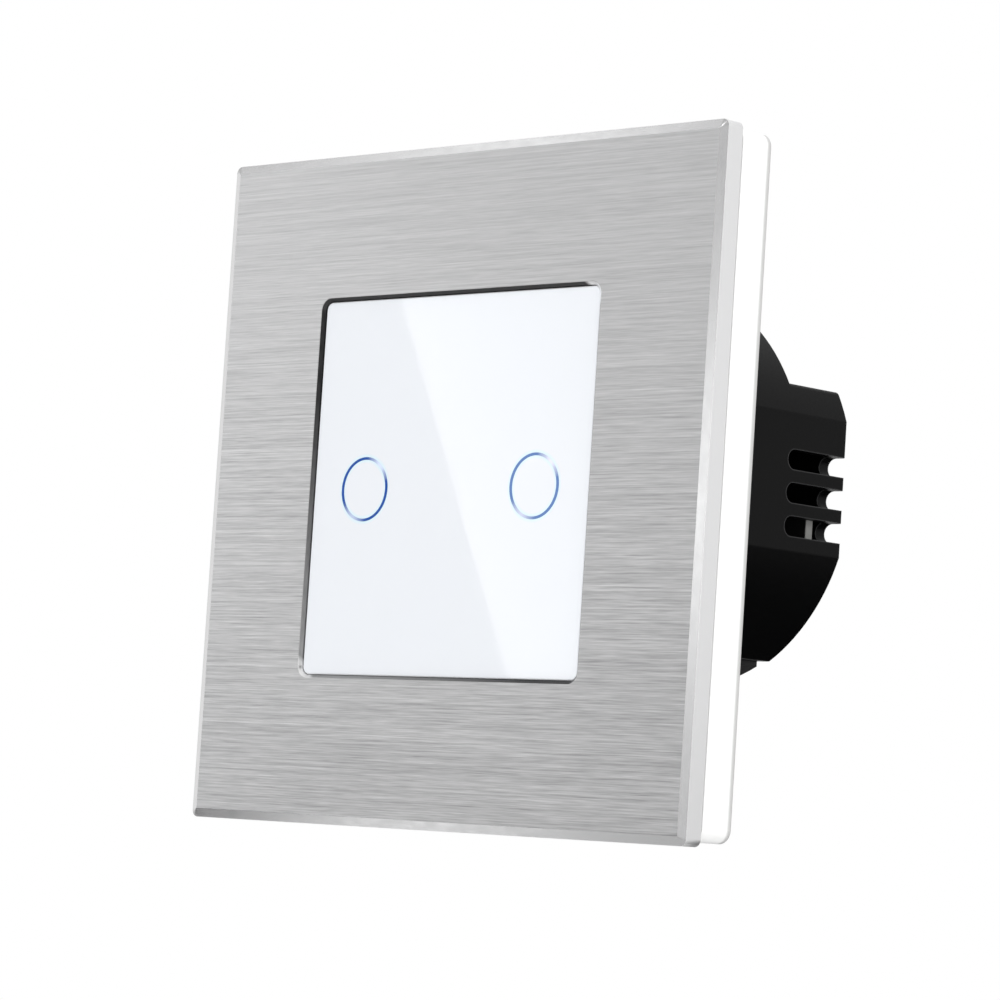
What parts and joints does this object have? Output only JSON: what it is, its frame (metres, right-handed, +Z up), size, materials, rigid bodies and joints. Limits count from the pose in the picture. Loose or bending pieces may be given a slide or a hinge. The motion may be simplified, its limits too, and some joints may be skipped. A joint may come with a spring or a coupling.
{
  "type": "touch light switch",
  "caption": "Touch light switch for a round wall box: brushed square front plate, white touch glass with blue light rings, and a round black relay module with wire terminals.",
  "frame": {"origin": "on the wall plane, behind the centre of the square front plate, halfway between the two wall screw slots", "axes": "+X to the right as seen from the room, +Y into the wall, +Z up"},
  "size_m": [0.08, 0.0445, 0.08],
  "materials": {
    "brushed_aluminium": "brushed",
    "adhesive": "matte",
    "white_plastic": "satin",
    "white_glass": "polished",
    "white_film": "matte",
    "blue_light_ring": "clear",
    "copper": "satin",
    "circuit_board": "satin",
    "lamp_chip": "satin",
    "black_package": "matte",
    "black_connector": "satin",
    "tinned_pin": "bright",
    "galvanised_steel": "galvanised",
    "black_plastic": "satin",
    "grey_plastic": "satin",
    "plated_steel": "plated",
    "relay_plastic": "satin",
    "soft_iron": "nickel plated",
    "coil_tape": "satin",
    "contact_metal": "silver plated",
    "ferrite": "matte",
    "pale_bobbin": "satin",
    "yellow_box": "satin",
    "dark_sleeve": "satin",
    "blue_epoxy": "satin",
    "fuse_tube": "satin",
    "terminal_plastic": "satin",
    "brass": "satin"
  },
  "bodies": {
    "power_base": {"base_cover": "grey_plastic", "film_capacitor": "yellow_box", "filter_capacitor": "dark_sleeve", "fuse": "fuse_tube", "header_socket": "black_connector", "housing_screws": "plated_steel", "left_relay_base": "relay_plastic", "left_relay_coil": "coil_tape", "left_relay_contact": "contact_metal", "left_relay_cover": "relay_plastic", "left_relay_frame": "soft_iron", "left_terminal_clamp": "brass", "left_terminal_pole": "terminal_plastic", "live_terminal_clamp": "brass", "live_terminal_pole": "terminal_plastic", "mounting_yoke": "galvanised_steel", "power_board": "circuit_board", "rear_housing": "black_plastic", "rectifier": "black_package", "regulator": "black_package", "right_relay_base": "relay_plastic", "right_relay_coil": "coil_tape", "right_relay_contact": "contact_metal", "right_relay_cover": "relay_plastic", "right_relay_frame": "soft_iron", "right_terminal_clamp": "brass", "right_terminal_pole": "terminal_plastic", "transformer_bobbin": "pale_bobbin", "transformer_core": "ferrite", "transformer_winding": "copper", "varistor": "blue_epoxy"},
    "face_frame": {"front_plate": "brushed_aluminium", "plate_tape": "adhesive", "back_frame": "white_plastic"},
    "touch_module": {"touch_glass": "white_glass", "light_film": "white_film", "module_carrier": "white_plastic", "left_light_ring": "blue_light_ring", "right_light_ring": "blue_light_ring", "left_touch_pad": "copper", "right_touch_pad": "copper", "touch_board": "circuit_board", "indicator_leds": "lamp_chip", "touch_chip": "black_package", "pin_strip": "black_connector", "header_pins": "tinned_pin"},
    "left_armature": {"left_relay_armature": "soft_iron"},
    "right_armature": {"right_relay_armature": "soft_iron"},
    "left_plate": {"left_pressure_plate": "plated_steel"},
    "left_screw": {"left_clamp_screw": "plated_steel"},
    "live_plate": {"live_pressure_plate": "plated_steel"},
    "live_screw": {"live_clamp_screw": "plated_steel"},
    "right_plate": {"right_pressure_plate": "plated_steel"},
    "right_screw": {"right_clamp_screw": "plated_steel"}
  },
  "joints": [
    {"name": "face_frame_removal", "type": "slide", "parent": "power_base", "child": "face_frame", "axis": [0, -1, 0], "range_m": [0, 0.015]},
    {"name": "touch_module_removal", "type": "slide", "parent": "power_base", "child": "touch_module", "axis": [0, -1, 0], "range_m": [0, 0.022]},
    {"name": "left_armature_hinge", "type": "hinge", "parent": "power_base", "child": "left_armature", "pos_m": [-0.01395, 0.0068, -0.00295], "axis": [-1, 0, 0], "range_deg": [0, 4]},
    {"name": "right_armature_hinge", "type": "hinge", "parent": "power_base", "child": "right_armature", "pos_m": [0.01395, 0.0068, -0.00295], "axis": [-1, 0, 0], "range_deg": [0, 4]},
    {"name": "left_plate_slide", "type": "slide", "parent": "power_base", "child": "left_plate", "axis": [0, -1, 0], "range_m": [0, 0.0024]},
    {"name": "left_screw_turn", "type": "hinge", "parent": "left_plate", "child": "left_screw", "pos_m": [-0.0075, 0.0344, 0.0089], "axis": [0, -1, 0], "range_deg": [0, 1450]},
    {"name": "live_plate_slide", "type": "slide", "parent": "power_base", "child": "live_plate", "axis": [0, -1, 0], "range_m": [0, 0.0024]},
    {"name": "live_screw_turn", "type": "hinge", "parent": "live_plate", "child": "live_screw", "pos_m": [0, 0.0344, 0.0089], "axis": [0, -1, 0], "range_deg": [0, 1450]},
    {"name": "right_plate_slide", "type": "slide", "parent": "power_base", "child": "right_plate", "axis": [0, -1, 0], "range_m": [0, 0.0024]},
    {"name": "right_screw_turn", "type": "hinge", "parent": "right_plate", "child": "right_screw", "pos_m": [0.0075, 0.0344, 0.0089], "axis": [0, -1, 0], "range_deg": [0, 1450]}
  ],
  "couplings": [
    {"joint": "left_screw_turn", "follows": "left_plate_slide", "rad_per_m": 10472},
    {"joint": "live_screw_turn", "follows": "live_plate_slide", "rad_per_m": 10472},
    {"joint": "right_screw_turn", "follows": "right_plate_slide", "rad_per_m": 10472}
  ]
}
